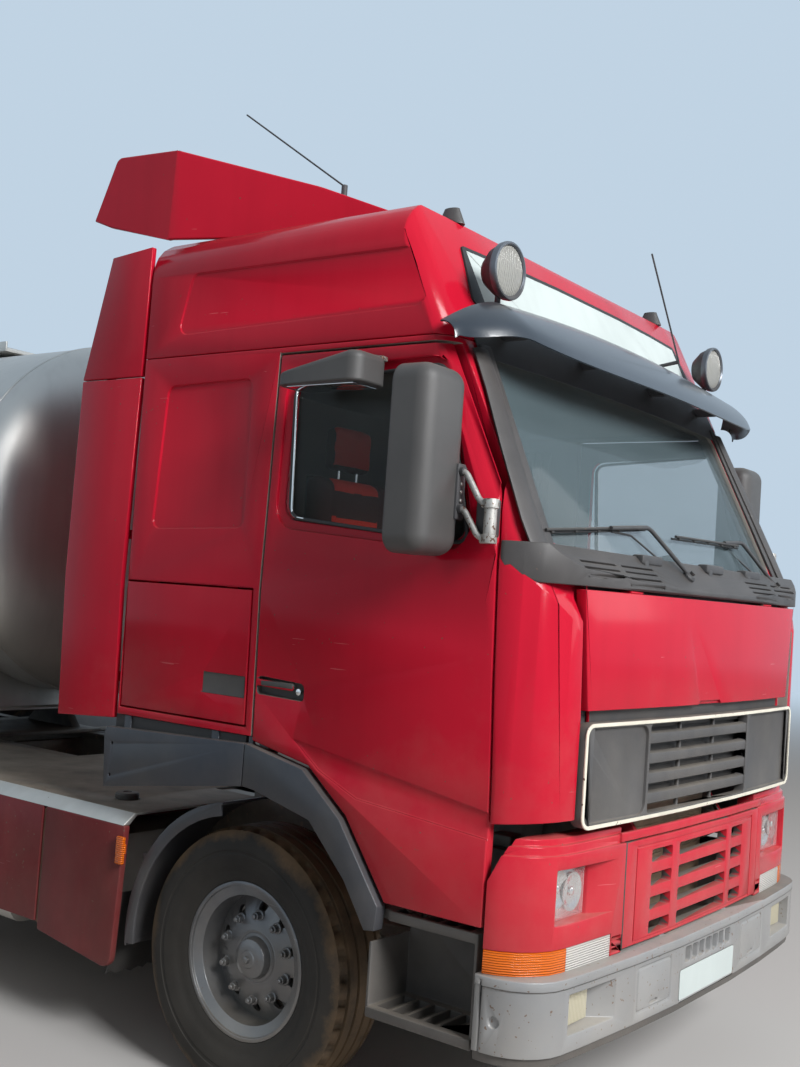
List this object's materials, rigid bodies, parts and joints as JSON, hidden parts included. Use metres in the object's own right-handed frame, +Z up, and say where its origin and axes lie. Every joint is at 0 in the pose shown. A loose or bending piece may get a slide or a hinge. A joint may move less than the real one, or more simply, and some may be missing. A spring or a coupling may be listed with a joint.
{
  "type": "articulated tanker lorry",
  "caption": "Cab-over road tractor with a high-roof sleeper cab, hinged to a stainless tank trailer on air-sprung axles.",
  "frame": {"origin": "on the ground, under the middle of the whole rig's length and width", "axes": "+X forward, towards the bumper; +Y to the driver's left; +Z up"},
  "size_m": [13.9466, 2.997, 4.2343],
  "materials": {
    "red_paint": "gloss",
    "chassis_paint": "matt, dirty",
    "engine_iron": "oily",
    "radiator_core": "dusty fins",
    "dull_aluminium": "dull",
    "tank_steel": "satin stainless",
    "black_plastic": "grained",
    "grey_plastic": "grained, faded",
    "tinted_visor": "smoked",
    "clear_glass": "clear",
    "lamp_metal": "dull chrome",
    "cabin_plastic": "soft grain",
    "seat_cloth": "woven",
    "tyre_rubber": "dusty rubber",
    "wheel_steel": "dusty silver"
  },
  "bodies": {
    "tractor": {"frame": "chassis_paint", "fifth_wheel": "chassis_paint", "front_axle": "chassis_paint", "drive_axle": "chassis_paint", "drivetrain": "engine_iron", "radiator": "radiator_core", "side_tanks": "dull_aluminium", "side_skirts": "red_paint", "deck": "dull_aluminium", "mudguards": "black_plastic", "bumper": "grey_plastic", "lamp_panel": "red_paint", "lamps": "clear_glass", "steps": "black_plastic"},
    "cab": {"cab_body": "red_paint", "cab_roof": "red_paint", "windscreen": "clear_glass", "side_fairings": "red_paint", "roof_deflector": "red_paint", "arch_trims": "black_plastic", "scuttle": "black_plastic", "visor": "tinted_visor", "roof_lamps": "lamp_metal", "dashboard": "cabin_plastic", "seats": "seat_cloth", "antennas": "black_plastic"},
    "door_right": {"door_r": "red_paint", "door_glass_r": "clear_glass", "mirror_r": "grey_plastic"},
    "door_left": {"door_l": "red_paint", "door_glass_l": "clear_glass", "mirror_l": "grey_plastic"},
    "locker_right": {"locker_lid_r": "red_paint"},
    "locker_left": {"locker_lid_l": "red_paint"},
    "front_hatch": {"front_lid": "red_paint", "upper_grille": "black_plastic"},
    "step_grille": {"lower_grille": "red_paint"},
    "hub_right": {"knuckle_r": "chassis_paint"},
    "hub_left": {"knuckle_l": "chassis_paint"},
    "wheel_front_right": {"tyre_fr": "tyre_rubber", "rim_fr": "wheel_steel"},
    "wheel_front_left": {"tyre_fl": "tyre_rubber", "rim_fl": "wheel_steel"},
    "wheels_drive_right": {"drive_wheels_r": "tyre_rubber"},
    "wheels_drive_left": {"drive_wheels_l": "tyre_rubber"},
    "trailer": {"tank": "tank_steel", "trailer_frame": "dull_aluminium", "walkway": "dull_aluminium", "landing_legs": "chassis_paint", "trailer_axles": "chassis_paint", "trailer_guards": "black_plastic", "tail_lamps": "clear_glass"},
    "manhole_front": {"manhole_lid_1": "tank_steel"},
    "manhole_rear": {"manhole_lid_2": "tank_steel"},
    "trailer_wheel_1_right": {"trailer_wheel_1r": "tyre_rubber"},
    "trailer_wheel_1_left": {"trailer_wheel_1l": "tyre_rubber"},
    "trailer_wheel_2_right": {"trailer_wheel_2r": "tyre_rubber"},
    "trailer_wheel_2_left": {"trailer_wheel_2l": "tyre_rubber"},
    "trailer_wheel_3_right": {"trailer_wheel_3r": "tyre_rubber"},
    "trailer_wheel_3_left": {"trailer_wheel_3l": "tyre_rubber"}
  },
  "joints": [
    {"name": "cab_tilt", "type": "hinge", "parent": "tractor", "child": "cab", "pos_m": [6.815, 0, 1.09], "axis": [0, 1, 0], "range_deg": [0, 65]},
    {"name": "door_right_swing", "type": "hinge", "parent": "cab", "child": "door_right", "pos_m": [6.682, -1.233, 1.6], "axis": [0, 0, 1], "range_deg": [0, 80]},
    {"name": "door_left_swing", "type": "hinge", "parent": "cab", "child": "door_left", "pos_m": [6.682, 1.233, 1.6], "axis": [0, 0, -1], "range_deg": [0, 80]},
    {"name": "locker_right_lift", "type": "hinge", "parent": "cab", "child": "locker_right", "pos_m": [5.225, -1.241, 1.922], "axis": [-1, 0, 0], "range_deg": [0, 90]},
    {"name": "locker_left_lift", "type": "hinge", "parent": "cab", "child": "locker_left", "pos_m": [5.225, 1.241, 1.922], "axis": [1, 0, 0], "range_deg": [0, 90]},
    {"name": "front_hatch_lift", "type": "hinge", "parent": "cab", "child": "front_hatch", "pos_m": [6.914, 0, 2.008], "axis": [0, -1, 0], "range_deg": [0, 75]},
    {"name": "step_grille_drop", "type": "hinge", "parent": "tractor", "child": "step_grille", "pos_m": [6.917, 0, 0.76], "axis": [0, 1, 0], "range_deg": [0, 85]},
    {"name": "steer_right", "type": "hinge", "parent": "tractor", "child": "hub_right", "pos_m": [5.575, -0.88, 0.505], "axis": [0, 0, 1], "range_deg": [-38, 38]},
    {"name": "steer_left", "type": "hinge", "parent": "tractor", "child": "hub_left", "pos_m": [5.575, 0.88, 0.505], "axis": [0, 0, 1], "range_deg": [-38, 38]},
    {"name": "roll_front_right", "type": "hinge", "parent": "hub_right", "child": "wheel_front_right", "pos_m": [5.575, -1.03, 0.505], "axis": [0, 1, 0], "continuous": true},
    {"name": "roll_front_left", "type": "hinge", "parent": "hub_left", "child": "wheel_front_left", "pos_m": [5.575, 1.03, 0.505], "axis": [0, 1, 0], "continuous": true},
    {"name": "roll_drive_right", "type": "hinge", "parent": "tractor", "child": "wheels_drive_right", "pos_m": [1.875, -0.9, 0.505], "axis": [0, 1, 0], "continuous": true},
    {"name": "roll_drive_left", "type": "hinge", "parent": "tractor", "child": "wheels_drive_left", "pos_m": [1.875, 0.9, 0.505], "axis": [0, 1, 0], "continuous": true},
    {"name": "trailer_swing", "type": "hinge", "parent": "tractor", "child": "trailer", "pos_m": [2.425, 0, 1.15], "axis": [0, 0, 1], "range_deg": [-90, 90]},
    {"name": "roll_trailer_1_right", "type": "hinge", "parent": "trailer", "child": "trailer_wheel_1_right", "pos_m": [-2.925, -1.035, 0.53], "axis": [0, 1, 0], "continuous": true},
    {"name": "roll_trailer_1_left", "type": "hinge", "parent": "trailer", "child": "trailer_wheel_1_left", "pos_m": [-2.925, 1.035, 0.53], "axis": [0, 1, 0], "continuous": true},
    {"name": "roll_trailer_2_right", "type": "hinge", "parent": "trailer", "child": "trailer_wheel_2_right", "pos_m": [-4.235, -1.035, 0.53], "axis": [0, 1, 0], "continuous": true},
    {"name": "roll_trailer_2_left", "type": "hinge", "parent": "trailer", "child": "trailer_wheel_2_left", "pos_m": [-4.235, 1.035, 0.53], "axis": [0, 1, 0], "continuous": true},
    {"name": "roll_trailer_3_right", "type": "hinge", "parent": "trailer", "child": "trailer_wheel_3_right", "pos_m": [-5.545, -1.035, 0.53], "axis": [0, 1, 0], "continuous": true},
    {"name": "roll_trailer_3_left", "type": "hinge", "parent": "trailer", "child": "trailer_wheel_3_left", "pos_m": [-5.545, 1.035, 0.53], "axis": [0, 1, 0], "continuous": true},
    {"name": "manhole_front_lift", "type": "hinge", "parent": "trailer", "child": "manhole_front", "pos_m": [-0.375, 0.285, 3.405], "axis": [-1, 0, 0], "range_deg": [0, 100]},
    {"name": "manhole_rear_lift", "type": "hinge", "parent": "trailer", "child": "manhole_rear", "pos_m": [-3.775, 0.285, 3.405], "axis": [-1, 0, 0], "range_deg": [0, 100]}
  ],
  "couplings": [
    {"joint": "steer_left", "follows": "steer_right", "ratio": 1}
  ]
}
